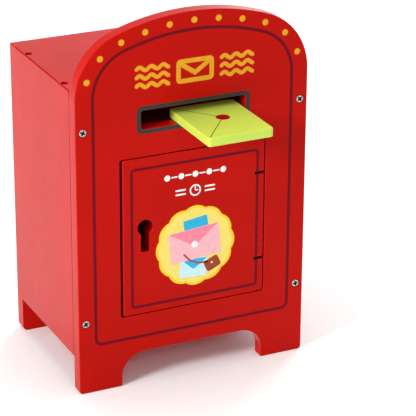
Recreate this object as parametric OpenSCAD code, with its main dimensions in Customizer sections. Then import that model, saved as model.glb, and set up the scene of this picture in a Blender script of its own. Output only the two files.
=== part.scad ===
// Toy post box: a wooden box with an arched front board, a hinged collection door,
// a letter slot and one wooden letter half way in the slot.
// Millimetres, +Z up, the front faces -Y, +X is to the right of someone facing it.
// The origin is on the ground at the centre of the overall box, letter included.

/* [Carcass] */
// Width of the box and of its front board
box_w = 180; // [170:1:200]
// Depth of the box, from the front face to the back face
box_d = 126; // [112:1:150]
// Height of the flat top of the box
box_h = 230; // [226:1:240]
// Thickness of the boards
board_t = 11; // [10:0.5:12]
// Height of the lower edge of the sides and the floor
side_gap = 26.5; // [25:0.5:32]

/* [Front arch and feet] */
// Height of the top of the arch
arch_h = 279; // [270:1:290]
// Radius of the flat crown of the arch
crown_r = 176; // [160:1:200]
// Radius of the two shoulders of the arch
shoulder_r = 48; // [40:1:55]
// Width of each foot
foot_w = 33.5; // [28:0.5:40]
// Height of the cut-out between the feet
foot_h = 25; // [22:0.5:26]
// Radius of the cut-out's two top corners
foot_arch_r = 18; // [8:1:20]
// Radius of the front board's lower corners
front_corner_r = 2.5; // [1:0.5:5]
// Radius of the rear board's lower corners
rear_corner_r = 4; // [1:0.5:6]

/* [Letter slot] */
// Width of the slot
slot_w = 81; // [70:1:90]
// Height of the slot
slot_h = 13.8; // [12:0.2:15]
// Height of the slot's lower edge
slot_z = 197.5; // [194:0.5:200]
// Corner radius of the slot
slot_r = 2; // [1:0.5:3]

/* [Door] */
// Width of the door opening
opening_w = 114.4; // [110:0.2:118]
// Height of the door opening
opening_h = 122; // [116:0.5:126]
// Height of the opening's lower edge
opening_z = 55; // [50:0.5:58]
// Gap at the door's free edge
free_gap = 2; // [1.5:0.1:3]
// Gap at the hinge edge
hinge_gap = 1; // [1:0.1:2]
// Gap above and below the door
end_gap = 0.8; // [0.6:0.1:2]
// Gap between the back of the door and its stop
stop_gap = 0.3; // [0.2:0.1:0.6]
// Corner radius of the door and of its opening
door_r = 1.5; // [1:0.5:3]

/* [Keyhole] */
// Diameter of the keyhole's round head
keyhole_d = 11.8; // [10:0.2:14]
// Width of the keyhole's stem
keyhole_stem_w = 6.8; // [5:0.2:8]
// Distance of the keyhole left of the box's centre line
keyhole_x = 37.9; // [34:0.1:42]
// Height of the head's centre
keyhole_z = 122.8; // [115:0.1:130]
// Height of the stem's lower end
keyhole_bottom_z = 104; // [98:0.5:110]

/* [Hinge] */
// Distance of the hinge pins from the door's hinge edge
pin_inset = 4.5; // [4:0.1:5]
// Distance of the hinge pins from the door's front face
pin_depth = 2.7; // [2.6:0.1:2.9]
// Diameter of the hinge pins
pin_d = 1.8; // [1.6:0.1:2]
// Radial clearance of a pin in its eye
pin_clearance = 0.05; // [0.02:0.01:0.1]
// Distance of each hinge kerf from the end of the door
kerf_inset = 26.4; // [22:0.1:32]
// Height of the kerf that an eye sits in
kerf_h = 2.3; // [2.2:0.1:2.8]
// Depth of the kerf from the door's edge
kerf_depth = 7.6; // [7.5:0.1:9]
// Thickness of the eye
eye_t = 1.6; // [1.4:0.1:1.6]
// Outer diameter of the eye
eye_d = 4.6; // [4:0.1:4.8]

/* [Letter] */
// Width of the wooden letter
letter_w = 50; // [44:1:60]
// Length of the wooden letter
letter_l = 66; // [62:1:80]
// Thickness of the wooden letter
letter_t = 6.5; // [5:0.5:7]
// How far the letter stands out of the front face
letter_out = 51; // [45:1:55]
// Distance of the letter right of the box's centre line
letter_x = 12.2; // [-14:0.1:14]

/* [Screws] */
// Shank diameter of the wood screws
screw_d = 3; // [2.8:0.1:3.2]
// Head diameter of the wood screws
screw_head_d = 5.8; // [5.4:0.1:6.2]
// Length of the screws in the front and rear boards
screw_l = 25; // [22:1:28]
// Distance of the screws from the side of the box
screw_inset = 5.7; // [5:0.1:6]
// Height of the lower pair of screws
screw_low_z = 55.3; // [50:0.1:60]
// Height of the upper pair of screws
screw_high_z = 201.5; // [196:0.1:203]
// Diameter of the deep holes in the top
top_hole_d = 5; // [4.8:0.1:5.4]
// Distance of the top holes from the side of the box
top_hole_inset = 3.7; // [3.5:0.1:5]

/* [Hidden] */

$fn = 64;
LEFT = -1;
RIGHT = 1;
paint_red = [0.78, 0.09, 0.04];
steel = [0.72, 0.72, 0.74];
black_wire = [0.15, 0.15, 0.16];
magnet_grey = [0.35, 0.36, 0.38];
bare_wood = [0.78, 0.62, 0.42];
lime = [0.74, 0.82, 0.30];
eps = 0.5;

// Depths below are measured back from the front face, which stands at front_y.
front_y = -(box_d - letter_out) / 2;
rear_board_y = box_d - board_t;
inner_w = box_w - 2 * board_t;
inner_d = rear_board_y - board_t;
top_under_z = box_h - board_t;

crown_z = arch_h - crown_r;
shoulder_x = box_w / 2 - shoulder_r;
spring_z = crown_z + sqrt(pow(crown_r - shoulder_r, 2) - pow(shoulder_x, 2));
tangent_x = crown_r * shoulder_x / (crown_r - shoulder_r);

opening_left = -opening_w / 2;
opening_right = opening_w / 2;
door_left = opening_left + free_gap;
door_right = opening_right - hinge_gap;
door_bottom = opening_z + end_gap;
door_top = opening_z + opening_h - end_gap;
door_w = door_right - door_left;
door_h = door_top - door_bottom;
door_t = board_t - stop_gap;

pin_x = door_right - pin_inset;
pin_below_surface = 0.8;
pin_past_kerf = 10;
upper_kerf_z = door_top - kerf_inset;
lower_kerf_z = door_bottom + kerf_inset;
pin_l = kerf_inset + pin_past_kerf - pin_below_surface;
eye_shank_d = 1.5;
eye_shank_in_board = 12;

screw_head_h = 1.7;
screw_tip_l = 4;
screw_sink = 0.2;
cross_w = 0.9;
cross_l = 3;
cross_h = 1.3;
screw_x = box_w / 2 - screw_inset;
top_screw_x = box_w / 2 - top_hole_inset;
top_screw_y = [board_t + 16.5, box_d - 29.5];
top_screw_sink = 5;
top_screw_l = 20;
top_screw_head_d = 4.6;
screw_clear_d = screw_d + 0.4;

dowel_d = 6;
dowel_l = 20;
dowel_in_side = 8;
dowel_y = [35, 91];
dowel_z = side_gap + board_t / 2;

stop_w = 24.5;
stop_h = 24;
stop_d = 8;
stop_right = door_left + 7.7;
catch_x = door_left + 4.3;
catch_z = (door_bottom + door_top) / 2;
magnet_d = 6;
magnet_t = 4;
catch_screw_l = 8;

letter_lift = 0.3;
letter_corner_r = 2.5;

// ---- placing helpers ----

// Puts children that are drawn with the front face at y = 0 where the front face stands.
module at_front() {
    translate([0, front_y, 0]) children();
}

// Mirrors children that are drawn for the right side over to the given side.
module on_side(side) {
    mirror([side == LEFT ? 1 : 0, 0, 0]) children();
}

// A board t thick whose outline is drawn in X and Z, with its front side at depth y.
module upright_board(y, t) {
    translate([0, y + t, 0]) rotate([90, 0, 0]) linear_extrude(t) children();
}

module rounded_rect(w, h, r) {
    translate([r, 0]) square([w - 2 * r, h]);
    translate([0, r]) square([w, h - 2 * r]);
    for (x = [r, w - r], z = [r, h - r]) translate([x, z]) circle(r);
}

// ---- outlines ----

module arch_outline() {
    translate([-box_w / 2, 0]) square([box_w, spring_z]);
    for (side = [LEFT, RIGHT]) translate([side * shoulder_x, spring_z]) circle(shoulder_r);
    intersection() {
        translate([0, crown_z]) circle(crown_r, $fn = 180);
        translate([-tangent_x, spring_z - eps]) square([2 * tangent_x, arch_h - spring_z + 2 * eps]);
    }
}

// The waste between a square corner at the origin and its rounding.
module corner_waste(r) {
    difference() {
        translate([-eps, -eps]) square(r + eps);
        translate([r, r]) circle(r);
    }
}

// The space between a board's feet, and the waste at its two lower corners.
module feet_cutout(corner_r) {
    gap_w = box_w - 2 * foot_w;
    translate([-gap_w / 2, -eps]) square([gap_w, foot_h - foot_arch_r + eps]);
    translate([-gap_w / 2 + foot_arch_r, -eps]) square([gap_w - 2 * foot_arch_r, foot_h + eps]);
    for (side = [LEFT, RIGHT]) on_side(side) {
        translate([gap_w / 2 - foot_arch_r, foot_h - foot_arch_r]) circle(foot_arch_r);
        translate([box_w / 2, 0]) mirror([1, 0]) corner_waste(corner_r);
    }
}

module keyhole_outline() {
    stem_r = 0.8;
    translate([-keyhole_x, keyhole_z]) circle(d = keyhole_d);
    translate([-keyhole_x - keyhole_stem_w / 2, keyhole_bottom_z])
        rounded_rect(keyhole_stem_w, keyhole_z - keyhole_bottom_z, stem_r);
}

// A kerf that runs in from the door's hinge edge to a round end.
module kerf_outline(z) {
    end_x = door_right - kerf_depth + kerf_h / 2;
    translate([end_x, z]) circle(d = kerf_h);
    translate([end_x, z - kerf_h / 2]) square([kerf_depth, kerf_h]);
}

// ---- screws and their holes ----

// A countersunk cross-head screw: the head's flat face at z = 0, the tip at z = -l.
module wood_screw(l, head_d) {
    difference() {
        union() {
            translate([0, 0, -screw_head_h]) cylinder(h = screw_head_h, d1 = screw_d, d2 = head_d);
            translate([0, 0, screw_tip_l - l]) cylinder(h = l - screw_tip_l - screw_head_h, d = screw_d);
            translate([0, 0, -l]) cylinder(h = screw_tip_l, d1 = 0.4, d2 = screw_d);
        }
        for (a = [0, 90]) rotate(a) translate([-cross_l / 2, -cross_w / 2, -cross_h])
            cube([cross_l, cross_w, cross_h + eps]);
    }
}

// The countersink and clearance hole for a screw, with the board's face at z = 0.
module countersink(head_d) {
    translate([0, 0, -board_t - eps]) cylinder(h = board_t + 2 * eps, d = screw_clear_d);
    translate([0, 0, -screw_head_h - screw_sink]) cylinder(h = screw_head_h, d1 = screw_d, d2 = head_d);
    translate([0, 0, -screw_sink]) cylinder(h = screw_sink + eps, d = head_d);
}

// Puts children at the four screws of the front board, or of the rear board, pointing into it.
module at_board_screws(y, front) {
    for (side = [LEFT, RIGHT], z = [screw_low_z, screw_high_z])
        translate([side * screw_x, y, z]) rotate([front ? 90 : -90, 0, 0]) children();
}

// Puts children at the four holes in the top, at height z.
module at_top_screws(z) {
    for (side = [LEFT, RIGHT], y = top_screw_y) translate([side * top_screw_x, y, z]) children();
}

// Puts children at the four dowels, along +X from the inner end of each.
module at_dowels() {
    for (side = [LEFT, RIGHT], y = dowel_y)
        on_side(side) translate([inner_w / 2 + dowel_in_side - dowel_l, y, dowel_z])
            rotate([0, 90, 0]) children();
}

// ---- root: the carcass and what is fixed to it ----

module front_panel() color(paint_red) at_front() difference() {
    upright_board(0, board_t) difference() {
        arch_outline();
        feet_cutout(front_corner_r);
        translate([opening_left, opening_z]) rounded_rect(opening_w, opening_h, door_r);
        translate([-slot_w / 2, slot_z]) rounded_rect(slot_w, slot_h, slot_r);
    }
    at_board_screws(0, true) countersink(screw_head_d);
    for (z = [lower_kerf_z, upper_kerf_z]) translate([opening_right - eps, pin_depth, z])
        rotate([0, 90, 0]) cylinder(h = eye_shank_in_board + eps, d = eye_shank_d);
}

module side_panel(side) at_front() difference() {
    on_side(side) translate([inner_w / 2, board_t, side_gap])
        cube([board_t, inner_d, top_under_z - side_gap]);
    for (front = [true, false]) at_board_screws(front ? 0 : box_d, front)
        translate([0, 0, -screw_l - screw_sink]) cylinder(h = screw_l, d = screw_d);
    at_top_screws(box_h - top_screw_sink - top_screw_l) cylinder(h = top_screw_l, d = screw_d);
    at_dowels() cylinder(h = dowel_l, d = dowel_d);
}

module left_side_panel() color(paint_red) side_panel(LEFT);

module right_side_panel() color(paint_red) side_panel(RIGHT);

module top_panel() color(paint_red) at_front() difference() {
    translate([-box_w / 2, board_t, top_under_z]) cube([box_w, inner_d, board_t]);
    at_top_screws(top_under_z - eps) cylinder(h = board_t + 2 * eps, d = screw_clear_d);
    at_top_screws(box_h - top_screw_sink - screw_head_h) cylinder(h = board_t, d = top_hole_d);
}

module floor_panel() color(paint_red) at_front() difference() {
    translate([-inner_w / 2, board_t, side_gap]) cube([inner_w, inner_d, board_t]);
    at_dowels() cylinder(h = dowel_l, d = dowel_d);
}

module rear_panel() color(paint_red) at_front() difference() {
    upright_board(rear_board_y, board_t) difference() {
        translate([-box_w / 2, 0]) square([box_w, box_h]);
        feet_cutout(rear_corner_r);
    }
    at_board_screws(box_d, false) countersink(screw_head_d);
}

module front_panel_screws() color(steel) at_front()
    at_board_screws(0, true) translate([0, 0, -screw_sink]) wood_screw(screw_l, screw_head_d);

module rear_panel_screws() color(steel) at_front()
    at_board_screws(box_d, false) translate([0, 0, -screw_sink]) wood_screw(screw_l, screw_head_d);

module top_panel_screws() color(steel) at_front()
    at_top_screws(box_h - top_screw_sink) wood_screw(top_screw_l, top_screw_head_d);

module floor_dowels() color(bare_wood) at_front() at_dowels() cylinder(h = dowel_l, d = dowel_d);

// A flat eye in the door's kerf, on a shank driven into the edge of the opening.
module hinge_eye(z) at_front() difference() {
    union() {
        translate([pin_x, pin_depth, z - eye_t / 2]) cylinder(h = eye_t, d = eye_d);
        translate([pin_x + eye_d / 4, pin_depth, z]) rotate([0, 90, 0])
            cylinder(h = opening_right + eye_shank_in_board - pin_x - eye_d / 4, d = eye_shank_d);
    }
    translate([pin_x, pin_depth, z - eye_t]) cylinder(h = 2 * eye_t, r = pin_d / 2 + pin_clearance);
}

module upper_hinge_eye() color(black_wire) hinge_eye(upper_kerf_z);

module lower_hinge_eye() color(black_wire) hinge_eye(lower_kerf_z);

module door_stop() color(bare_wood) at_front() difference() {
    translate([stop_right - stop_w, board_t, catch_z - stop_h / 2]) cube([stop_w, stop_d, stop_h]);
    translate([catch_x, board_t - eps, catch_z]) rotate([-90, 0, 0])
        cylinder(h = magnet_t + eps, d = magnet_d);
}

module catch_magnet() color(magnet_grey) at_front()
    translate([catch_x, board_t, catch_z]) rotate([-90, 0, 0]) cylinder(h = magnet_t, d = magnet_d);

// ---- door: everything that swings with it ----

module door_panel() color(paint_red) at_front() difference() {
    upright_board(0, door_t) difference() {
        translate([door_left, door_bottom]) rounded_rect(door_w, door_h, door_r);
        keyhole_outline();
        kerf_outline(upper_kerf_z);
        kerf_outline(lower_kerf_z);
    }
    translate([pin_x, pin_depth, door_bottom - eps])
        cylinder(h = pin_l + pin_below_surface + eps, d = pin_d);
    translate([pin_x, pin_depth, door_top - pin_l - pin_below_surface])
        cylinder(h = pin_l + pin_below_surface + eps, d = pin_d);
    translate([catch_x, door_t, catch_z]) rotate([-90, 0, 0]) {
        translate([0, 0, -screw_head_h]) cylinder(h = screw_head_h, d1 = screw_d, d2 = screw_head_d);
        translate([0, 0, -catch_screw_l]) cylinder(h = catch_screw_l, d = screw_d);
    }
}

module upper_hinge_pin() color(black_wire) at_front()
    translate([pin_x, pin_depth, door_top - pin_below_surface - pin_l]) cylinder(h = pin_l, d = pin_d);

module lower_hinge_pin() color(black_wire) at_front()
    translate([pin_x, pin_depth, door_bottom + pin_below_surface]) cylinder(h = pin_l, d = pin_d);

module catch_screw() color(steel) at_front()
    translate([catch_x, door_t, catch_z]) rotate([-90, 0, 0]) wood_screw(catch_screw_l, screw_head_d);

// ---- letter ----

module letter_tile() color(lime) at_front()
    translate([letter_x - letter_w / 2, -letter_out, slot_z + letter_lift])
        linear_extrude(letter_t) rounded_rect(letter_w, letter_l, letter_corner_r);

front_panel();
left_side_panel();
right_side_panel();
top_panel();
floor_panel();
rear_panel();
front_panel_screws();
rear_panel_screws();
top_panel_screws();
floor_dowels();
upper_hinge_eye();
lower_hinge_eye();
door_stop();
catch_magnet();
door_panel();
upper_hinge_pin();
lower_hinge_pin();
catch_screw();
letter_tile();
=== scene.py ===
import math

import bmesh
import bpy
from mathutils import Matrix, Vector


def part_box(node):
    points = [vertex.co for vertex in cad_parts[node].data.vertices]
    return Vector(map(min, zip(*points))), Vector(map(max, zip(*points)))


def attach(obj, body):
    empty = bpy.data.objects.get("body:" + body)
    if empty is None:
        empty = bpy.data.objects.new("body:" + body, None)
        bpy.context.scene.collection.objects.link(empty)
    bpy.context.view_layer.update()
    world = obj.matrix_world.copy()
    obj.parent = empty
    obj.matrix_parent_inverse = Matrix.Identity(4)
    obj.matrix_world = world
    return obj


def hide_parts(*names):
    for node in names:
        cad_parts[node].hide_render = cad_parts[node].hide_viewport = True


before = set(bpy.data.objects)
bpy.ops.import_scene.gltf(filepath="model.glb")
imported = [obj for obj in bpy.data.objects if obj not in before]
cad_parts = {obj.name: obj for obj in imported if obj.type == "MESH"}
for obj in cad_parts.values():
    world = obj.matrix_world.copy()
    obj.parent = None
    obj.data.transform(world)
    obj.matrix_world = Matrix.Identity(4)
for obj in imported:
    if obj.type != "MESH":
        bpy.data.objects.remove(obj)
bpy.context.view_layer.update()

# A painted wooden toy post box. Every board is a new mesh with rounded, painted arrises that stands
# for its plain CAD board, and every print is a thin film of ink on its board.
# Outlines and sizes are in millimetres in the row frame; MM turns them into Blender's metres.
MM = 0.001
ROOT, DOOR, LETTER = "root", "door", "letter"

# ---- sizes that the boards' outlines have beyond their boxes ----

CROWN_R, SHOULDER_R = 176, 48
FOOT_W, FOOT_H, FOOT_ARCH_R = 33.5, 25, 18
FRONT_CORNER_R, REAR_CORNER_R = 2.5, 4
OPENING = (-57.2, 55, 57.2, 177)
OPENING_R = 1.5
SLOT = (-40.5, 197.5, 40.5, 211.3)
SLOT_R = 2
KEYHOLE = (-37.9, 122.8)
KEYHOLE_R = 5.9
KEYHOLE_STEM_W, KEYHOLE_BOTTOM, KEYHOLE_STEM_R = 6.8, 104, 0.8
KERF_INSET, KERF_H, KERF_DEPTH = 26.4, 2.3, 7.6
LETTER_CORNER_R = 2.5
SCREW_HEAD_D, SCREW_X, SCREW_Z = 5.8, 84.3, (55.3, 201.5)
TOP_HOLE_D, TOP_HOLE_X, TOP_HOLE_Y = 5, 86.3, (-10, 59)

# ---- finish sizes ----

# Roundings of the arrises, and the number of strips that each is made of.
ARRIS_R, DOOR_ARRIS_R, LETTER_ARRIS_R, HEAD_ARRIS_R = 0.9, 0.5, 0.7, 0.22
ARRIS_STEPS = 4
# How much of the rounding the edge of a hole takes, and a side board's seam with the front board.
HOLE_SHARE, SOFT_SEAM = 0.45, 0.45
# The groove between a screw's head and the paint, and how much smaller than the CAD's the head is.
SCREW_GROOVE, HEAD_EASE = 0.25, 0.15
# The thickness of one layer of ink.
PRINT_T = 0.03
# Faces that meet at less than this are shaded as one.
SHARP_ANGLE = math.radians(35)
# Edges whose directions have a smaller cross product than this run on in one line.
STRAIGHT_ON = 1e-4


def box_mm(node):
    """Lowest and highest corner of a CAD node, in millimetres."""
    return tuple(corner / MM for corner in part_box(node))


# ---- outlines: lists of (u, v) points ----


def arc(centre, radius, start, end, steps=12):
    """Points along an arc from one angle to the other, in degrees."""
    angles = [math.radians(start + (end - start) * i / steps) for i in range(steps + 1)]
    return [(centre[0] + radius * math.cos(a), centre[1] + radius * math.sin(a)) for a in angles]


def circle(centre, radius, steps=48):
    return arc(centre, radius, 0, 360, steps)[:-1]


def rounded_rect(left, bottom, right, top, radius, steps=6):
    """Counter-clockwise, from the lower right corner."""
    near, far = left + radius, right - radius
    low, high = bottom + radius, top - radius
    return (arc((far, low), radius, -90, 0, steps) + arc((far, high), radius, 0, 90, steps)
            + arc((near, high), radius, 90, 180, steps) + arc((near, low), radius, 180, 270, steps))


def turned(points, degrees, centre):
    """Points turned about a centre and moved to it from the origin."""
    c, s = math.cos(math.radians(degrees)), math.sin(math.radians(degrees))
    return [(centre[0] + c * u - s * v, centre[1] + s * u + c * v) for u, v in points]


def wound(points, counter_clockwise):
    """The same loop, wound the way asked for."""
    area = sum(a[0] * b[1] - b[0] * a[1] for a, b in zip(points, points[1:] + points[:1]))
    return points if (area > 0) == counter_clockwise else points[::-1]


def left_normal(a, b):
    along = Vector((b[0] - a[0], b[1] - a[1])).normalized()
    return Vector((-along.y, along.x))


def inset_loop(points, insets):
    """Moves each edge of a closed loop to its left. insets[i] belongs to the edge that leaves point i."""
    moved = []
    for i, point in enumerate(points):
        into = left_normal(points[i - 1], point)
        out = left_normal(point, points[(i + 1) % len(points)])
        a, b = insets[i - 1], insets[i]
        cross = into.x * out.y - into.y * out.x
        if abs(cross) < STRAIGHT_ON:
            shift = out * (a + b) / 2
        else:
            shift = Vector((a * out.y - b * into.y, b * into.x - a * out.x)) / cross
        moved.append((point[0] + shift.x, point[1] + shift.y))
    return moved


def band(points, width):
    """A closed line of that width, as (outline, [hole])."""
    loop = wound(points, True)
    half = [width / 2] * len(loop)
    return inset_loop(loop, [-h for h in half]), [inset_loop(loop, half)]


def strip(points, width):
    """An open line of that width with square ends, as (outline, [])."""
    sides = []
    for way in (points, points[::-1]):
        for i, point in enumerate(way):
            normals = [left_normal(a, b) for a, b in zip(way[max(i - 1, 0):i + 1], way[max(i, 1):i + 2])]
            normal = sum(normals, Vector((0, 0))).normalized() * width / 2
            sides.append((point[0] + normal.x, point[1] + normal.y))
    return sides, []


def ribbon(points, width):
    """An open line of that width with round ends, as (outline, [])."""
    sides = []
    for way in (points, points[::-1]):
        for before, point, after in zip(way, way[1:], way[2:]):
            normal = (left_normal(before, point) + left_normal(point, after)).normalized() * width / 2
            sides.append((point[0] + normal.x, point[1] + normal.y))
        heading = math.degrees(math.atan2(way[-1][1] - way[-2][1], way[-1][0] - way[-2][0]))
        sides += arc(way[-1], width / 2, heading + 90, heading - 90, 8)
    return sides, []


def along(points, distance):
    """The point at that distance along an open line."""
    for a, b in zip(points, points[1:]):
        step = math.dist(a, b)
        if distance <= step:
            return a[0] + (b[0] - a[0]) * distance / step, a[1] + (b[1] - a[1]) * distance / step
        distance -= step
    return points[-1]


# ---- meshes ----


def placed(axis, u, v, w):
    """A point (u, v) of an outline at depth w across an axis, in metres."""
    point = {"x": (w, u, v), "y": (u, w, v), "z": (u, v, w)}[axis]
    return Vector(point) * MM


def whole(u, v):
    """Every edge takes the whole rounding."""
    return 1


def hole_share(u, v):
    """The edges of a hole take less of it."""
    return HOLE_SHARE


# The numbers of a loop's two materials: on its arrises, and on the flat wall between them. A strip
# of an arris that takes no rounding is flat, and counts as wall. The finish for gaps and holes puts a
# darker material, painted shade, on their walls.
PLAIN, BRIGHT, SHADED_GAP, SEAM = (0, 0), (1, 1), (1, 2), (1, 0)


def add_solid(bm, shape, axis, low, high, rounding=(0, 0), shares=(whole, whole), finishes=()):
    """Adds a board between two depths across an axis. rounding is the arris radius on the low side and
    on the high side; shares say how much of it each outer edge takes, from its middle. finishes has
    PLAIN, BRIGHT, SHADED_GAP or SEAM for the outline and then for each hole."""
    outline, holes = shape
    loops = [wound(outline, True)] + [wound(h, False) for h in holes]
    sections = []
    for radius, face, inwards, share in zip(rounding, (low, high), (1, -1), shares):
        turns = [i / ARRIS_STEPS * math.pi / 2 for i in range(ARRIS_STEPS + 1)] if radius else [math.pi / 2]
        steps = [(radius * (1 - math.sin(a)), face + inwards * radius * (1 - math.cos(a)), share)
                 if radius else (0, face, share) for a in turns]
        sections += steps[::inwards]
    rings = []
    for inset, depth, share in sections:
        ring = []
        for index, loop in enumerate(loops):
            ends = zip(loop, loop[1:] + loop[:1])
            middles = [((a[0] + b[0]) / 2, (a[1] + b[1]) / 2) for a, b in ends]
            insets = [inset * (hole_share if index else share)(*m) for m in middles]
            ring.append([bm.verts.new(placed(axis, u, v, depth)) for u, v in inset_loop(loop, insets)])
        rings.append(ring)
    wall = ARRIS_STEPS if rounding[0] else 0
    finishes = list(finishes) + [PLAIN] * (len(loops) - len(finishes))
    for level, (lower, upper) in enumerate(zip(rings, rings[1:])):
        share = shares[level > wall]
        for loop, a, b, finish in zip(loops, lower, upper, finishes):
            for i in range(len(a)):
                middle = (Vector(loop[i - 1]) + Vector(loop[i])) / 2
                face = bm.faces.new((a[i - 1], a[i], b[i], b[i - 1]))
                face.material_index = finish[level == wall or not share(*middle)]
    for ring in (rings[0], rings[-1]):
        edges = [bm.edges.get((loop[i - 1], loop[i])) for loop in ring for i in range(len(loop))]
        bmesh.ops.triangle_fill(bm, use_beauty=True, use_dissolve=False, edges=edges)


def add_revolved(bm, profile, centre, axis, steps=40, first_finish=0):
    """Adds a closed ring: a profile of (radius, depth) points turned about an axis through centre.
    first_finish is the number of the material between its first two points."""
    loops = []
    for radius, depth in profile:
        loops.append([bm.verts.new(placed(axis, u, v, depth)) for u, v in circle(centre, radius, steps)])
    for level, (a, b) in enumerate(zip(loops, loops[1:] + loops[:1])):
        for i in range(steps):
            face = bm.faces.new((a[i - 1], a[i], b[i], b[i - 1]))
            face.material_index = 0 if level else first_finish


def piece(name, bm, materials, body, stands_for=()):
    """Makes the mesh an object that rides on a body, takes a finish and stands for CAD nodes."""
    bmesh.ops.recalc_face_normals(bm, faces=bm.faces)
    for face in bm.faces:
        face.smooth = True
    for edge in bm.edges:
        edge.smooth = len(edge.link_faces) == 2 and edge.calc_face_angle() < SHARP_ANGLE
    mesh = bpy.data.meshes.new(name)
    bm.to_mesh(mesh)
    bm.free()
    for material in materials:
        mesh.materials.append(material)
    obj = bpy.data.objects.new(name, mesh)
    bpy.context.scene.collection.objects.link(obj)
    normals = obj.modifiers.new("Flat faces", "WEIGHTED_NORMAL")
    normals.keep_sharp = True
    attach(obj, body)
    if stands_for:
        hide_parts(*stands_for)
    return obj


def board(name, shape, axis, low, high, materials, body, stands_for, rounding, shares=(whole, whole),
          finishes=()):
    bm = bmesh.new()
    add_solid(bm, shape, axis, low, high, rounding, shares, finishes)
    return piece(name, bm, materials, body, stands_for)


def printed(name, shapes, material, body, face=None, layer=1, axis="y", outwards=-1):
    """A film of ink on a face. A higher layer lies over a lower one."""
    face = front_y if face is None else face
    low, high = sorted((face, face + outwards * PRINT_T * layer))
    bm = bmesh.new()
    for shape in shapes:
        add_solid(bm, shape, axis, low, high)
    return piece(name, bm, [material], body)


# ---- materials ----


def start_material(name):
    """A material's node tree, its shader and the coordinates of the object it is on."""
    material = bpy.data.materials.new(name)
    material.use_nodes = True
    tree = material.node_tree
    shader = tree.nodes["Principled BSDF"]
    coords = tree.nodes.new("ShaderNodeTexCoord").outputs["Object"]
    return material, tree, shader, coords


def noise(tree, coords, scale, detail=2.0):
    """Noise from 0 to 1, with about that many spots to a metre."""
    node = tree.nodes.new("ShaderNodeTexNoise")
    node.inputs["Scale"].default_value = scale
    node.inputs["Detail"].default_value = detail
    tree.links.new(coords, node.inputs["Vector"])
    return node.outputs["Fac"]


def stretched(tree, coords, scale):
    """Coordinates multiplied along each axis."""
    node = tree.nodes.new("ShaderNodeVectorMath")
    node.operation = "MULTIPLY"
    node.inputs[1].default_value = scale
    tree.links.new(coords, node.inputs[0])
    return node.outputs[0]


def between(tree, value, low, high, start=0.3, end=0.7):
    """A value from low to high, as value goes from start to end."""
    node = tree.nodes.new("ShaderNodeMapRange")
    for socket, number in zip(("From Min", "From Max", "To Min", "To Max"), (start, end, low, high)):
        node.inputs[socket].default_value = number
    tree.links.new(value, node.inputs["Value"])
    return node.outputs["Result"]


def blended(tree, value, first, second):
    """A colour between two, by value."""
    node = tree.nodes.new("ShaderNodeMix")
    node.data_type = "RGBA"
    node.inputs["A"].default_value = (*first, 1)
    node.inputs["B"].default_value = (*second, 1)
    tree.links.new(value, node.inputs["Factor"])
    return node.outputs["Result"]


def bumped(tree, height, depth_mm, normal=None):
    """The surface raised by height, over another bump if there is one."""
    node = tree.nodes.new("ShaderNodeBump")
    node.inputs["Distance"].default_value = depth_mm * MM
    tree.links.new(height, node.inputs["Height"])
    if normal:
        tree.links.new(normal, node.inputs["Normal"])
    return node.outputs["Normal"]


def scaled(colour, factor):
    return tuple(c * factor for c in colour)


def paint(name, colour, roughness, specular, sheen, patchy=0.05, peel_mm=0.012):
    """Sprayed satin paint on fibreboard: slow changes of thickness, orange peel and a few dust nibs."""
    material, tree, shader, coords = start_material(name)
    patches = between(tree, noise(tree, coords, 22, 3), 0, 1)
    tree.links.new(blended(tree, patches, scaled(colour, 1 - patchy), scaled(colour, 1 + patchy)),
                   shader.inputs["Base Color"])
    haze = between(tree, noise(tree, coords, 70, 3), roughness - 0.04, roughness + 0.04)
    tree.links.new(haze, shader.inputs["Roughness"])
    peel = bumped(tree, noise(tree, coords, 620, 2), peel_mm)
    nibs = tree.nodes.new("ShaderNodeTexVoronoi")
    nibs.inputs["Scale"].default_value = 42
    tree.links.new(coords, nibs.inputs["Vector"])
    nib = between(tree, nibs.outputs["Distance"], 1, 0, 0.004, 0.022)
    tree.links.new(bumped(tree, nib, 0.06, peel), shader.inputs["Normal"])
    shader.inputs["Specular IOR Level"].default_value = specular
    shader.inputs["Sheen Weight"].default_value = sheen
    shader.inputs["Sheen Roughness"].default_value = 0.28
    return material


def ink(name, colour, roughness=0.42, specular=0.08, uneven=0.06):
    """Screen-printed ink, a little uneven, over the texture of the paint."""
    material, tree, shader, coords = start_material(name)
    cover = between(tree, noise(tree, coords, 260, 4), 0, 1)
    tree.links.new(blended(tree, cover, scaled(colour, 1 - uneven), scaled(colour, 1 + uneven)),
                   shader.inputs["Base Color"])
    tree.links.new(between(tree, noise(tree, coords, 120), roughness - 0.05, roughness + 0.05),
                   shader.inputs["Roughness"])
    tree.links.new(bumped(tree, noise(tree, coords, 620), 0.01), shader.inputs["Normal"])
    shader.inputs["Specular IOR Level"].default_value = specular
    return material


def metal(name, colour, roughness, streaks=(1, 1, 1)):
    """Plated or drawn steel with fine streaks and small dull spots."""
    material, tree, shader, coords = start_material(name)
    grain = noise(tree, stretched(tree, coords, streaks), 900, 3)
    spots = noise(tree, coords, 350, 4)
    tree.links.new(blended(tree, between(tree, spots, 0, 1), scaled(colour, 0.82), colour),
                   shader.inputs["Base Color"])
    tree.links.new(between(tree, grain, roughness - 0.08, roughness + 0.1), shader.inputs["Roughness"])
    tree.links.new(bumped(tree, grain, 0.008), shader.inputs["Normal"])
    shader.inputs["Metallic"].default_value = 1
    return material


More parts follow.
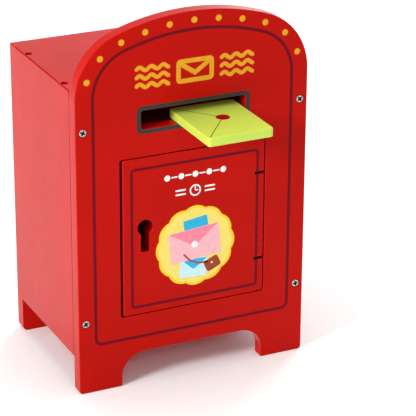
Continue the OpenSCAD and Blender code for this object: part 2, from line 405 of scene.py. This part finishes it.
def raw_wood(name, colour, grain_along=(1, 1, 0.08)):
    """Bare beech: short dark flecks along the grain."""
    material, tree, shader, coords = start_material(name)
    fibres = noise(tree, stretched(tree, coords, grain_along), 500, 5)
    rings = noise(tree, stretched(tree, coords, grain_along), 90, 3)
    value = tree.nodes.new("ShaderNodeMath")
    value.operation = "MULTIPLY"
    tree.links.new(fibres, value.inputs[0])
    tree.links.new(rings, value.inputs[1])
    fleck = between(tree, value.outputs[0], 0, 1, 0.12, 0.4)
    tree.links.new(blended(tree, fleck, scaled(colour, 0.6), colour), shader.inputs["Base Color"])
    tree.links.new(between(tree, fibres, 0.55, 0.75), shader.inputs["Roughness"])
    tree.links.new(bumped(tree, fibres, 0.05), shader.inputs["Normal"])
    return material


# The reds: broad faces, edges that catch the light, a darker red painted as shade on the walls of gaps and
# holes, and the box's seams.
red_paint = paint("red_paint", (0.46, 0.003, 0.0001), 0.34, 0.06, 0.7)
red_edge_paint = paint("red_edge_paint", (0.50, 0.003, 0.0004), 0.3, 0.22, 0)
red_gap_shade = paint("red_gap_shade", (0.27, 0.001, 0.0004), 0.5, 0.05, 0)
red_seam_paint = paint("red_seam_paint", (0.42, 0.002, 0.0004), 0.4, 0.05, 0.15)
red_boards = [red_paint, red_edge_paint, red_gap_shade]
box_boards = [red_paint, red_seam_paint, red_gap_shade]
lime_paint = paint("lime_paint", (0.53, 0.70, 0.085), 0.34, 0.3, 0.05)
maroon_ink = ink("maroon_ink", (0.135, 0.002, 0.009))
yellow_ink = ink("yellow_ink", (0.72, 0.34, 0.018))
white_ink = ink("white_ink", (0.86, 0.84, 0.84))
grey_ink = ink("grey_ink", (0.040, 0.037, 0.033))
seal_ink = ink("seal_ink", (0.34, 0.002, 0.004))
line_ink = ink("line_ink", (0.10, 0.11, 0.06))
rim_ink = ink("rim_ink", (0.90, 0.60, 0.03))
cream_ink = ink("cream_ink", (0.84, 0.69, 0.16), uneven=0.03)
pink_ink = ink("pink_ink", (0.88, 0.46, 0.51))
rose_ink = ink("rose_ink", (0.84, 0.24, 0.33))
blue_ink = ink("blue_ink", (0.03, 0.43, 0.69))
sky_ink = ink("sky_ink", (0.56, 0.80, 0.86))
brown_ink = ink("brown_ink", (0.33, 0.06, 0.02))
zinc = metal("zinc_plating", (0.56, 0.54, 0.50), 0.2)
# Almost black: painted shade in the screws' cross recesses.
zinc_recess_shade = metal("zinc_recess_shade", (0.03, 0.03, 0.028), 0.5)
# Almost black: painted shade in the kerfs where the hinge eyes show.
hinge_wire_shade = metal("hinge_wire_shade", (0.012, 0.011, 0.011), 0.55, (1, 1, 0.05))
ferrite = metal("ferrite", (0.10, 0.10, 0.105), 0.6)
beech = raw_wood("bare_beech", (0.62, 0.40, 0.20))


# ---- the carcass ----

front_lo, front_hi = box_mm("front_panel")
front_y, front_back_y = front_lo.y, front_hi.y
crown_z = front_hi.z - CROWN_R
shoulder_x = front_hi.x - SHOULDER_R
spring_z = crown_z + math.sqrt((CROWN_R - SHOULDER_R) ** 2 - shoulder_x ** 2)
shoulder_end = math.degrees(math.acos(shoulder_x / (CROWN_R - SHOULDER_R)))


def arch(inset):
    """The curved top of the front board, from right to left, moved inwards."""
    return (arc((shoulder_x, spring_z), SHOULDER_R - inset, 0, shoulder_end, 24)
            + arc((0, crown_z), CROWN_R - inset, shoulder_end, 180 - shoulder_end, 48)[1:-1]
            + arc((-shoulder_x, spring_z), SHOULDER_R - inset, 180 - shoulder_end, 180, 24))


def feet(half_width, corner_r):
    """The lower edge of a board with two feet, from left to right."""
    gap, arch_x = half_width - FOOT_W, half_width - FOOT_W - FOOT_ARCH_R
    low = FOOT_H - FOOT_ARCH_R
    return (arc((corner_r - half_width, corner_r), corner_r, 180, 270, 4) + [(-gap, 0)]
            + arc((-arch_x, low), FOOT_ARCH_R, 180, 90, 14) + arc((arch_x, low), FOOT_ARCH_R, 90, 0, 14)
            + [(gap, 0)] + arc((half_width - corner_r, corner_r), corner_r, 270, 360, 4))


# The same four screws are in the front board and in the rear board.
screw_centres = [(side * SCREW_X, z) for side in (-1, 1) for z in SCREW_Z]
screw_holes = [circle(centre, SCREW_HEAD_D / 2 + SCREW_GROOVE, 32) for centre in screw_centres]

slot_hole = rounded_rect(*SLOT, SLOT_R, 8)
front_shape = (arch(0) + feet(front_hi.x, FRONT_CORNER_R),
               [slot_hole, rounded_rect(*OPENING, OPENING_R)] + screw_holes)
board("front_board", front_shape, "y", front_y, front_back_y, red_boards, ROOT,
      ["front_panel"], (ARRIS_R, ARRIS_R), finishes=[PLAIN, BRIGHT, BRIGHT] + [SHADED_GAP] * len(screw_holes))

rear_lo, rear_hi = box_mm("rear_panel")
side_bottom = box_mm("left_side_panel")[0].z
rear_top = (arc((rear_hi.x - ARRIS_R, rear_hi.z - ARRIS_R), ARRIS_R, 0, 90, 4)
            + arc((rear_lo.x + ARRIS_R, rear_hi.z - ARRIS_R), ARRIS_R, 90, 180, 4))


def below_sides(u, v):
    """Only the feet are rounded on the inner side: above them the side boards meet the rear board."""
    return 1 if v < side_bottom else 0


board("rear_board", (rear_top + feet(rear_hi.x, REAR_CORNER_R), screw_holes), "y", rear_lo.y, rear_hi.y,
      box_boards, ROOT, ["rear_panel"], (ARRIS_R, ARRIS_R), (below_sides, whole),
      [SEAM] + [SHADED_GAP] * len(screw_holes))

top_lo, top_hi = box_mm("top_panel")
top_holes = [circle((side * TOP_HOLE_X, y), TOP_HOLE_D / 2, 32) for side in (-1, 1) for y in TOP_HOLE_Y]
top_outline = [(top_lo.x, top_lo.y), (top_hi.x, top_lo.y), (top_hi.x, top_hi.y), (top_lo.x, top_hi.y)]


def top_ends(u, v):
    """Only the left and right ends of the top are rounded: the other edges meet boards."""
    return 1 if top_lo.y < v < top_hi.y else 0


def side_edges(lo):
    """For a side board from that corner: its lower edge is rounded, its seam with the front a little."""
    def share(u, v):
        return 1 if v == lo.z else SOFT_SEAM if u == lo.y else 0
    return share


board("top_board", (top_outline, top_holes), "z", top_lo.z, top_hi.z, box_boards, ROOT,
      ["top_panel"], (0, ARRIS_R), (whole, top_ends), [SEAM] + [SHADED_GAP] * len(top_holes))

for side_name in ("left", "right"):
    node = side_name + "_side_panel"
    lo, hi = box_mm(node)
    outline = [(lo.y, lo.z), (hi.y, lo.z), (hi.y, hi.z), (lo.y, hi.z)]
    rounding = (ARRIS_R, 0) if side_name == "left" else (0, ARRIS_R)
    board(side_name + "_side_board", (outline, []), "x", lo.x, hi.x, box_boards, ROOT, [node],
          rounding, (side_edges(lo), side_edges(lo)), (SEAM,))

floor_lo, floor_hi = box_mm("floor_panel")
floor_outline = [(floor_lo.x, floor_lo.y), (floor_hi.x, floor_lo.y), (floor_hi.x, floor_hi.y),
                 (floor_lo.x, floor_hi.y)]
board("floor_board", (floor_outline, []), "z", floor_lo.z, floor_hi.z, [red_paint], ROOT,
      ["floor_panel"], (0, 0))

# ---- the door and the letter ----

door_lo, door_hi = box_mm("door_panel")


def kerf(z):
    """The notch for a hinge eye in the door's right edge, from its lower to its upper side."""
    end_x = door_hi.x - KERF_DEPTH + KERF_H / 2
    return ([(door_hi.x, z - KERF_H / 2)] + arc((end_x, z), KERF_H / 2, 270, 90, 8)
            + [(door_hi.x, z + KERF_H / 2)])


def keyhole():
    """A round hole over a stem with straight sides."""
    half = KEYHOLE_STEM_W / 2
    neck = math.degrees(math.acos(half / KEYHOLE_R))
    x, low = KEYHOLE[0], KEYHOLE_BOTTOM + KEYHOLE_STEM_R
    corner = half - KEYHOLE_STEM_R
    return (arc(KEYHOLE, KEYHOLE_R, -neck, 180 + neck, 36)
            + arc((x - corner, low), KEYHOLE_STEM_R, 180, 270, 4)
            + arc((x + corner, low), KEYHOLE_STEM_R, 270, 360, 4))


kerf_heights = (door_lo.z + KERF_INSET, door_hi.z - KERF_INSET)
door_edge = rounded_rect(door_lo.x, door_lo.z, door_hi.x, door_hi.z, OPENING_R)
# rounded_rect starts with its lower right corner, which has this many points, as each corner has.
corner_points = len(door_edge) // 4
door_outline = (door_edge[:corner_points] + kerf(kerf_heights[0]) + kerf(kerf_heights[1])
                + door_edge[corner_points:])
board("door_board", (door_outline, [keyhole()]), "y", door_lo.y, door_hi.y, red_boards, DOOR,
      ["door_panel"], (DOOR_ARRIS_R, DOOR_ARRIS_R), finishes=(SHADED_GAP, SHADED_GAP))

letter_lo, letter_hi = box_mm("letter_tile")
letter_outline = rounded_rect(letter_lo.x, letter_lo.y, letter_hi.x, letter_hi.y, LETTER_CORNER_R)
board("letter_board", (letter_outline, []), "z", letter_lo.z, letter_hi.z, [lime_paint], LETTER,
      ["letter_tile"], (LETTER_ARRIS_R, LETTER_ARRIS_R))

# ---- what stays as the CAD has it, with its finish ----

for node, finish in (("top_panel_screws", zinc), ("catch_screw", zinc),
                     ("upper_hinge_eye", hinge_wire_shade), ("lower_hinge_eye", hinge_wire_shade),
                     ("upper_hinge_pin", hinge_wire_shade), ("lower_hinge_pin", hinge_wire_shade),
                     ("door_stop", beech), ("floor_dowels", beech), ("catch_magnet", ferrite)):
    cad_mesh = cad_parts[node].data
    cad_mesh.materials.clear()
    cad_mesh.materials.append(finish)

# ---- screws ----

SCREW_SINK, SCREW_SHANK_R, HEAD_H, SCREW_TIP, TIP_R = 0.45, 1.5, 1.7, 4, 0.2
# A revolved profile starts this far from its axis.
AXIS_R = 0.01
CROSS_L, CROSS_W, CROSS_H = 3.8, 1.2, 1.2
CROSS_TURNS = (28, 66, 12, 41)


def cross(centre, degrees):
    """The outline of a cross recess, turned as the screw was left."""
    long, short = CROSS_L / 2, CROSS_W / 2
    quarter = [(long, -short), (long, short), (short, short)]
    return [point for turn in range(4) for point in turned(quarter, degrees + 90 * turn, centre)]


def add_screw(bm, centre, degrees, face, inwards, length):
    """A countersunk cross-head screw: a plate with the cross cut through it, over a cone, shank and tip.
    The cross's walls and floor take the second material, painted shade.
    """
    start, plate = face + inwards * SCREW_SINK, face + inwards * (SCREW_SINK + CROSS_H)
    low, high = sorted((start, plate))
    head_r = SCREW_HEAD_D / 2 - HEAD_EASE
    cone_r = SCREW_SHANK_R + (head_r - SCREW_SHANK_R) * (1 - CROSS_H / HEAD_H)
    rounding = (HEAD_ARRIS_R, 0) if inwards > 0 else (0, HEAD_ARRIS_R)
    add_solid(bm, (circle(centre, head_r, 40), [cross(centre, degrees)]), "y", low, high, rounding,
              finishes=(PLAIN, BRIGHT))
    profile = [(AXIS_R, plate), (cone_r, plate), (SCREW_SHANK_R, face + inwards * (SCREW_SINK + HEAD_H)),
               (SCREW_SHANK_R, face + inwards * (length - SCREW_TIP)), (TIP_R, face + inwards * length),
               (AXIS_R, face + inwards * length)]
    add_revolved(bm, profile, centre, "y", first_finish=1)


for board_name, node, face, inwards in (("front", "front_panel_screws", front_y, 1),
                                        ("rear", "rear_panel_screws", rear_hi.y, -1)):
    lo, hi = box_mm(node)
    bm = bmesh.new()
    for centre, degrees in zip(screw_centres, CROSS_TURNS):
        add_screw(bm, centre, degrees, face, inwards, hi.y - lo.y)
    piece(board_name + "_board_screws", bm, [zinc, zinc_recess_shade], ROOT, [node])

# The paint that each screw in the front pushed up round its hole, as (radius, depth) points.
PAINT_RING = [(3.1, 0.3), (3.1, 0.0), (3.2, -0.1), (3.45, -0.14), (3.75, -0.08), (4.0, 0.0), (4.0, 0.1)]
bm = bmesh.new()
for centre in screw_centres:
    add_revolved(bm, [(r, front_y + depth) for r, depth in PAINT_RING], centre, "y")
piece("front_board_screw_paint_rings", bm, [red_seam_paint], ROOT)

# ---- prints on the front board ----

STRIPE_INSET, STRIPE_W, STRIPE_BOTTOM, STRIPE_CORNER_R = 13.1, 2.2, 37.6, 4.5
stripe_x = front_hi.x - STRIPE_INSET
stripe_low = STRIPE_BOTTOM + STRIPE_CORNER_R
stripe = (arch(STRIPE_INSET)
          + arc((STRIPE_CORNER_R - stripe_x, stripe_low), STRIPE_CORNER_R, 180, 270, 6)
          + arc((stripe_x - STRIPE_CORNER_R, stripe_low), STRIPE_CORNER_R, 270, 360, 6))
printed("front_stripe", [band(stripe, STRIPE_W)], maroon_ink, ROOT)

DOT_INSET, DOT_R, DOT_STEP, DOTS_EACH_SIDE = 6.5, 2.3, 18.7, 5
dot_line = arch(DOT_INSET)
half_length = sum(math.dist(a, b) for a, b in zip(dot_line, dot_line[1:])) / 2
dots = [(circle(along(dot_line, half_length + i * DOT_STEP), DOT_R, 32), [])
        for i in range(-DOTS_EACH_SIDE, DOTS_EACH_SIDE + 1)]
printed("front_dots", dots, yellow_ink, ROOT)

SLOT_RING_W, SLOT_RING_R, SLOT_RING_LAP = 3.4, 4.4, 0.35
slot_ring = (rounded_rect(SLOT[0] - SLOT_RING_W, SLOT[1] - SLOT_RING_W, SLOT[2] + SLOT_RING_W,
                          SLOT[3] + SLOT_RING_W, SLOT_RING_R, 10),
             [rounded_rect(SLOT[0] - SLOT_RING_LAP, SLOT[1] - SLOT_RING_LAP, SLOT[2] + SLOT_RING_LAP,
                           SLOT[3] + SLOT_RING_LAP, SLOT_R + SLOT_RING_LAP, 8)])
printed("slot_ring", [slot_ring], grey_ink, ROOT)

# In place of a title: an envelope between wavy lines.
TITLE = (-45.3, 227.1, 46.8, 244.9)
TITLE_STROKE, WAVE_STROKE = 3.4, 2.9
TITLE_ENVELOPE_W, FLAP_LOW = 29, -2
WAVE_GAP, WAVE_H, WAVE_L, WAVES, WAVE_STEPS = 4.5, 1.25, 9, 3, 40
title_x, title_z = (TITLE[0] + TITLE[2]) / 2, (TITLE[1] + TITLE[3]) / 2
half_w, half_h = TITLE_ENVELOPE_W / 2, (TITLE[3] - TITLE[1]) / 2


def title_envelope():
    """A drawn envelope: a frame and a flap line, with the two fields between them left open."""
    inner_w, inner_h = half_w - TITLE_STROKE, half_h - TITLE_STROKE
    slope = (inner_h - FLAP_LOW) / inner_w
    rise = TITLE_STROKE / 2 * math.hypot(1, slope)
    above = [(0, FLAP_LOW + rise), ((inner_h - FLAP_LOW - rise) / slope, inner_h),
             ((FLAP_LOW + rise - inner_h) / slope, inner_h)]
    below = [(-inner_w, -inner_h), (inner_w, -inner_h), (inner_w, inner_h - rise), (0, FLAP_LOW - rise),
             (-inner_w, inner_h - rise)]
    centre = (title_x, title_z)
    return (turned(rounded_rect(-half_w, -half_h, half_w, half_h, TITLE_STROKE), 0, centre),
            [turned(above, 0, centre), turned(below, 0, centre)])


title = [title_envelope()]
wave_rise = (TITLE[3] - TITLE[1] - WAVE_STROKE - 2 * WAVE_H) / (WAVES - 1)
for start_x, end_x in ((TITLE[0], title_x - TITLE_ENVELOPE_W / 2 - WAVE_GAP),
                       (title_x + TITLE_ENVELOPE_W / 2 + WAVE_GAP, TITLE[2])):
    for row in range(WAVES):
        z = TITLE[1] + WAVE_STROKE / 2 + WAVE_H + row * wave_rise
        near, far = start_x + WAVE_STROKE / 2, end_x - WAVE_STROKE / 2
        xs = [near + (far - near) * i / WAVE_STEPS for i in range(WAVE_STEPS + 1)]
        wave = [(x, z + WAVE_H * math.sin((x - near) / WAVE_L * math.tau)) for x in xs]
        title.append(ribbon(wave, WAVE_STROKE))
printed("title_ornament", title, yellow_ink, ROOT)

# ---- prints on the door ----

# The frame line is open at the two kerfs, so it has two parts: round the door, and between them.
DOOR_STRIPE = (-48.25, 61.5, 50.8, 168)
DOOR_STRIPE_W, DOOR_STRIPE_R = 2, 2
stripe_loop = rounded_rect(*DOOR_STRIPE, DOOR_STRIPE_R)
stripe_ends = [(DOOR_STRIPE[2], z + side * KERF_H / 2) for z in kerf_heights for side in (-1, 1)]
around = [stripe_ends[3]] + stripe_loop[corner_points:] + stripe_loop[:corner_points] + [stripe_ends[0]]
printed("door_stripe", [strip(around, DOOR_STRIPE_W), strip(stripe_ends[1:3], DOOR_STRIPE_W)], maroon_ink,
        DOOR)

# In place of the collection times: five day marks and a clock between dashes.
DAYS, DAY_STEP, DAY_R, DAY_Z = 5, 11, 2.3, 157.5
# Where the dash between two day marks starts and ends, as shares of their step.
DAY_DASH, DAY_DASH_W = (0.32, 0.68), 1.1
TIMES_X, CLOCK_Z, CLOCK_R, CLOCK_LINE_W = 1.3, 145, 3.9, 1.1
LONG_HAND, SHORT_HAND, HAND_W = 2.6, 2, 0.9
# The two dashes on either side of the clock.
DASH_NEAR, DASH_FAR, DASH_RISE, DASH_W = 8, 15, 1.6, 1.3
times = [(circle((TIMES_X + (i - (DAYS - 1) / 2) * DAY_STEP, DAY_Z), DAY_R, 24), [])
         for i in range(DAYS)]
times += [ribbon([(TIMES_X + (i + end - DAYS / 2 + 0.5) * DAY_STEP, DAY_Z) for end in DAY_DASH],
                 DAY_DASH_W) for i in range(DAYS - 1)]
times += [band(circle((TIMES_X, CLOCK_Z), CLOCK_R, 40), CLOCK_LINE_W),
          ribbon([(TIMES_X, CLOCK_Z + LONG_HAND), (TIMES_X, CLOCK_Z), (TIMES_X + SHORT_HAND, CLOCK_Z)],
                 HAND_W)]
times += [ribbon([(TIMES_X + side * x, CLOCK_Z + rise) for x in (DASH_NEAR, DASH_FAR)], DASH_W)
          for side in (-1, 1) for rise in (-DASH_RISE, DASH_RISE)]
printed("collection_marks", times, white_ink, DOOR)

# In place of the figure: a scalloped medallion with letters and a satchel.
MEDALLION = (1.5, 101.8)
LOBES, LOBE_R, LOBE_DEPTH, RIM_W = 12, 31.3, 1.7, 2.1
# Below 1 it makes the lobes rounder. The field inside the rim has shallower lobes than the rim.
LOBE_POWER, FIELD_LOBE_DEPTH = 0.8, LOBE_DEPTH * 0.7
# The corners of a small envelope's paper, and its flap: in from the paper's upper corners by FLAP_IN
# and FLAP_DOWN, with a blunt tip below the middle by a share of the half height.
PAPER_R, FLAP_IN, FLAP_DOWN, FLAP_TIP_X, FLAP_TIP_SHARE = 1.1, 0.6, 0.3, 0.8, 0.12
SATCHEL, SATCHEL_TURN, SATCHEL_HALF_W, SATCHEL_HALF_H, SATCHEL_R = (13.5, -16.5), 24, 6, 4.6, 2
STRAP_W, BUCKLE, BUCKLE_R = 1.3, (13.2, -15.8), 0.8
LETTER_SEAL, LETTER_SEAL_R = (-0.6, 1), 2.6


def scallop(radius, depth, steps=240):
    """A circle with round lobes and sharp valleys."""
    angles = [math.tau * i / steps for i in range(steps)]
    radii = [radius - depth * (1 - abs(math.cos(a * LOBES / 2)) ** LOBE_POWER) for a in angles]
    return [(MEDALLION[0] + r * math.cos(a), MEDALLION[1] + r * math.sin(a))
            for a, r in zip(angles, radii)]


def on_medallion(points, degrees=0, centre=(0, 0)):
    """Points turned and moved to a centre that is given from the medallion's own."""
    return turned(points, degrees, (MEDALLION[0] + centre[0], MEDALLION[1] + centre[1]))


def envelope(width, height, degrees, centre):
    """The paper and the flap of a small envelope."""
    w, h = width / 2, height / 2
    paper = rounded_rect(-w, -h, w, h, PAPER_R)
    tip_z = -h * FLAP_TIP_SHARE
    flap = [(-w + FLAP_IN, h - FLAP_DOWN), (-FLAP_TIP_X, tip_z), (FLAP_TIP_X, tip_z),
            (w - FLAP_IN, h - FLAP_DOWN)]
    return on_medallion(paper, degrees, centre), on_medallion(flap, degrees, centre)


top_paper, top_flap = envelope(19, 12, 8, (0.5, 15.5))
big_paper, big_flap = envelope(40, 24, 5, (-0.5, 1.5))
low_paper, low_flap = envelope(22, 14.5, -4, (-1.5, -17.2))
letter_seal = circle(on_medallion([LETTER_SEAL])[0], LETTER_SEAL_R, 32)
satchel = on_medallion(rounded_rect(-SATCHEL_HALF_W, -SATCHEL_HALF_H, SATCHEL_HALF_W, SATCHEL_HALF_H,
                                    SATCHEL_R), SATCHEL_TURN, SATCHEL)
strap = on_medallion([(-9, -6), (-4, -11.5), (3, -14.5), (9.5, -14.5)])
buckle = circle(on_medallion([BUCKLE])[0], BUCKLE_R, 16)

for part, shapes, colour, layer in (
        ("rim", [(scallop(LOBE_R, LOBE_DEPTH), [])], rim_ink, 1),
        ("field", [(scallop(LOBE_R - RIM_W, FIELD_LOBE_DEPTH), [])], cream_ink, 2),
        ("blue_letters", [(top_paper, []), (low_flap, [])], blue_ink, 4),
        ("sky_letters", [(low_paper, []), (top_flap, [])], sky_ink, 3),
        ("pink_letter", [(big_paper, [])], pink_ink, 5),
        ("rose_flap", [(big_flap, [])], rose_ink, 6),
        ("letter_seal", [(letter_seal, [])], white_ink, 7),
        ("satchel", [(satchel, []), ribbon(strap, STRAP_W)], brown_ink, 6),
        ("satchel_buckle", [(buckle, [])], white_ink, 8)):
    printed("medallion_" + part, shapes, colour, DOOR, layer=layer)

# ---- prints on the letter: the flap's lines and the seal ----

SEAL = (14.2, -54.6)
SEAL_R, LINE_W, LINE_END = 5.15, 0.75, 2.5
flap_line = [(letter_lo.x + LINE_END, letter_lo.y + LINE_END), SEAL,
             (letter_lo.x + LINE_END, letter_hi.y - LINE_END)]
printed("letter_lines", [ribbon(flap_line, LINE_W)], line_ink, LETTER,
        letter_hi.z, 1, "z", 1)
printed("letter_seal", [(circle(SEAL, SEAL_R), [])], seal_ink, LETTER,
        letter_hi.z, 3, "z", 1)


# ---- floor, light and camera: metres and degrees ----

FLOOR_REACH = 9
CAMERA_AT = (-0.5924, -1.2961, 0.7212)
CAMERA_YAW, CAMERA_PITCH, CAMERA_ROLL = 25.63, 22.98, 0.40
LENS, SENSOR = 182.5, 36
WORLD_LIGHT = 0.42


def studio_floor():
    """A wide matt white floor, slightly uneven in tone."""
    material, tree, shader, coords = start_material("studio_floor")
    tone = between(tree, noise(tree, coords, 3, 2), 0, 1)
    tree.links.new(blended(tree, tone, (0.95, 0.95, 0.95), (0.97, 0.97, 0.97)), shader.inputs["Base Color"])
    shader.inputs["Roughness"].default_value = 0.75
    shader.inputs["Specular IOR Level"].default_value = 0.2
    mesh = bpy.data.meshes.new("studio_floor")
    corners = [(x * FLOOR_REACH, y * FLOOR_REACH, 0) for x, y in ((-1, -1), (1, -1), (1, 1), (-1, 1))]
    mesh.from_pydata(corners, [], [(0, 1, 2, 3)])
    mesh.materials.append(material)
    obj = bpy.data.objects.new("studio_floor", mesh)
    bpy.context.scene.collection.objects.link(obj)


def softbox(name, location, size, power, target=(0, 0, 0.12)):
    """A square area light, aimed at the middle of the box."""
    light = bpy.data.lights.new(name, "AREA")
    light.shape = "SQUARE"
    light.size = size
    light.energy = power
    obj = bpy.data.objects.new(name, light)
    obj.location = location
    obj.rotation_euler = (Vector(target) - Vector(location)).to_track_quat("-Z", "Y").to_euler()
    obj.visible_camera = False
    bpy.context.scene.collection.objects.link(obj)


def camera():
    """A long lens, from the left and above."""
    data = bpy.data.cameras.new("camera")
    data.lens, data.sensor_width = LENS, SENSOR
    data.clip_start, data.clip_end = 0.1, 30
    obj = bpy.data.objects.new("camera", data)
    yaw, pitch, roll = (math.radians(a) for a in (CAMERA_YAW, CAMERA_PITCH, CAMERA_ROLL))
    turn = (Matrix.Rotation(-yaw, 4, "Z") @ Matrix.Rotation(math.pi / 2 - pitch, 4, "X")
            @ Matrix.Rotation(roll, 4, "Z"))
    obj.matrix_world = Matrix.Translation(CAMERA_AT) @ turn
    bpy.context.scene.collection.objects.link(obj)
    bpy.context.scene.camera = obj


studio_floor()
softbox("front_left", (-1.0, -2.0, 1.3), 0.5, 8)
softbox("left_front", (-1.4, -0.5, 0.85), 0.35, 21)
softbox("right_back", (1.5, 1.4, 1.3), 1.0, 26)
softbox("overhead", (0.2, 0.25, 2.2), 1.6, 22)
world = bpy.data.worlds.new("studio")
world.use_nodes = True
world.node_tree.nodes["Background"].inputs["Color"].default_value = (1, 1, 1, 1)
world.node_tree.nodes["Background"].inputs["Strength"].default_value = WORLD_LIGHT
bpy.context.scene.world = world
bpy.context.scene.view_settings.view_transform = "Standard"
camera()
